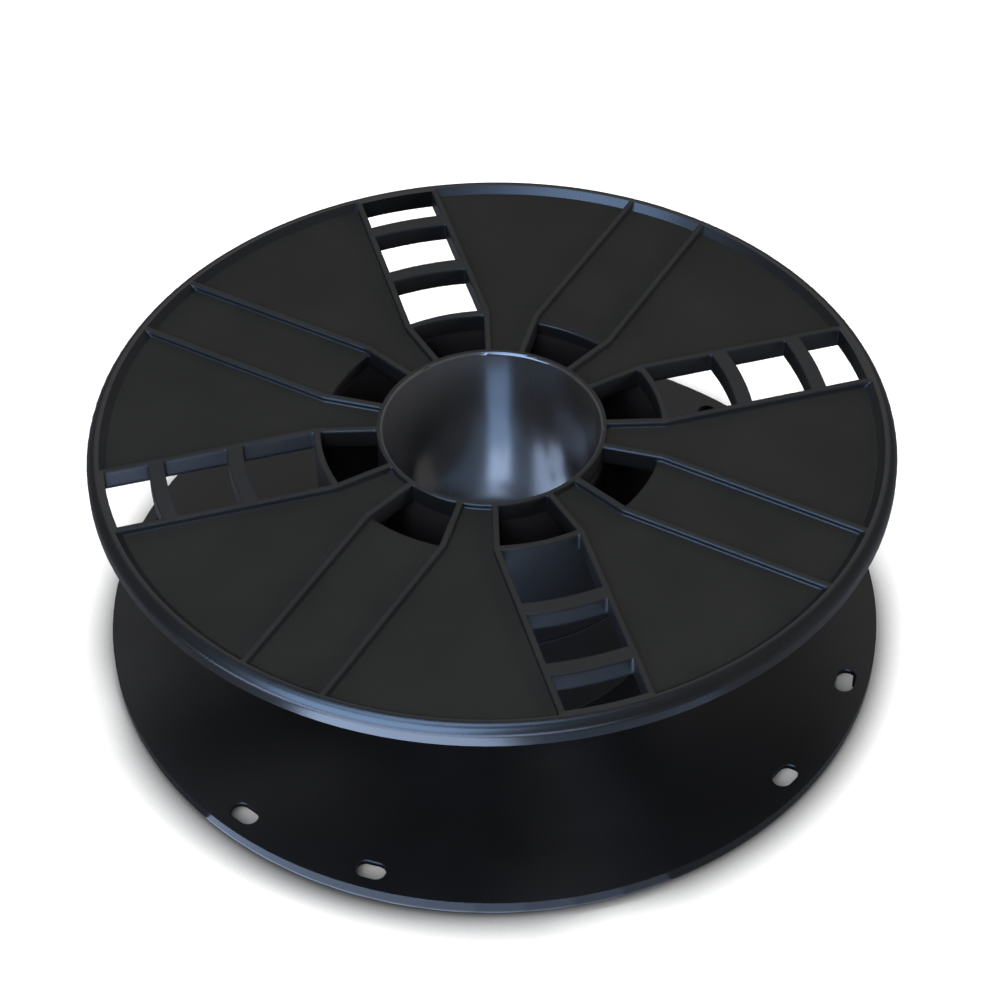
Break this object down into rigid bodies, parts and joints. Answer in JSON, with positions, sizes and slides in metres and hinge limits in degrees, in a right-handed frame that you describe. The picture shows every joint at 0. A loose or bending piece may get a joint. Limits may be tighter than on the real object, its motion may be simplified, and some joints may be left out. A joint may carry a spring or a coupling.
{
  "type": "cable spool",
  "caption": "Flat two-flange plastic cable spool with a hollow winding drum, a round axle bore, ribbed flanges, ladder windows in the upper flange and cable slots in the lower one.",
  "frame": {"origin": "centre of the bore in the plane of the rim that the spool lies on", "axes": "+Z along the spool axis, away from the flange it lies on; X and Y along the ladder spokes of the upper flange"},
  "size_m": [0.2, 0.2, 0.0675],
  "materials": {
    "moulded_plastic": "black moulded plastic, finely textured panels, polished rim, ribs and bore"
  },
  "bodies": {
    "root": {"lower_half": "moulded_plastic", "upper_half": "moulded_plastic"}
  },
  "joints": []
}
